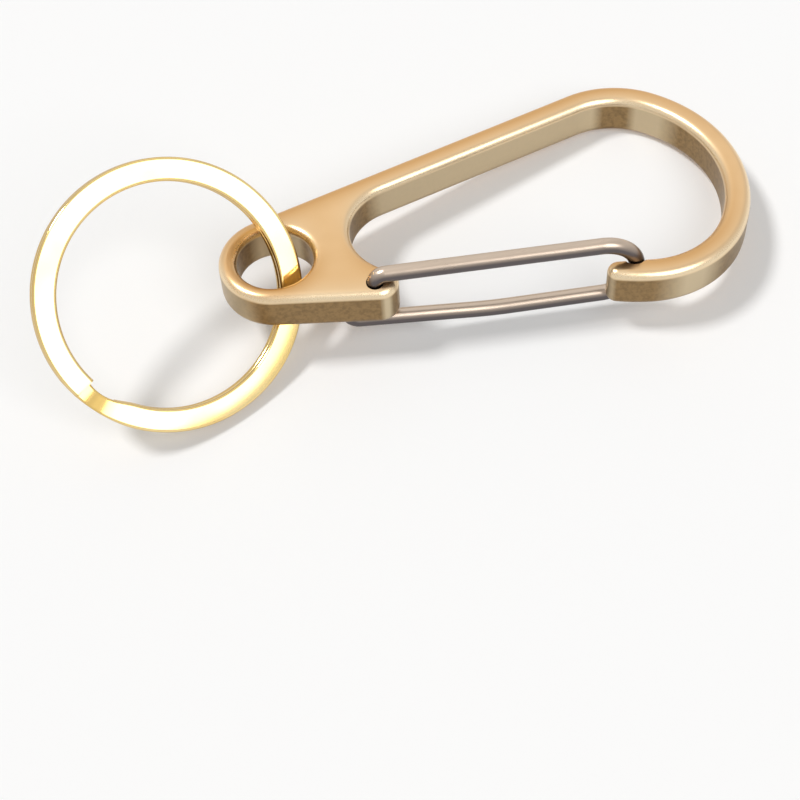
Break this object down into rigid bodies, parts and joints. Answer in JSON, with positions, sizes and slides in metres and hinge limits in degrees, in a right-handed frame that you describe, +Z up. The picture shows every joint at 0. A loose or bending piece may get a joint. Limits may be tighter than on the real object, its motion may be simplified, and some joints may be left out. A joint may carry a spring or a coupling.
{
  "type": "carabiner keychain",
  "caption": "Solid brass key carabiner with a sprung wire gate that swings inward and a flat split ring linked through its eye.",
  "frame": {"origin": "centre of the footprint, at the height of the table on which the part lies", "axes": "+X along the carabiner from the ring to the hook end, +Y towards the spine side, +Z up"},
  "size_m": [0.0814, 0.0312, 0.0221],
  "materials": {
    "satin_brass": "satin, tumbled",
    "bright_steel": "bright drawn stainless wire",
    "gold_plate": "polished gold plate on steel"
  },
  "bodies": {
    "body": {"carabiner_body": "satin_brass"},
    "gate": {"wire_gate": "bright_steel"},
    "ring": {"split_ring": "gold_plate"}
  },
  "joints": [
    {"name": "gate_hinge", "type": "hinge", "parent": "body", "child": "gate", "pos_m": [-0.00589, -0.00752, 0.00793], "axis": [0.6848, -0.0383, 0.7277], "range_deg": [0, 20], "stiffness_Nm_per_rad": 0.06, "springref_deg": -17.19},
    {"name": "ring_swing", "type": "hinge", "parent": "body", "child": "ring", "pos_m": [-0.01302, -0.0012, 0.00764], "axis": [0.9579, 0.1456, -0.2475], "range_deg": [0, 80]}
  ]
}
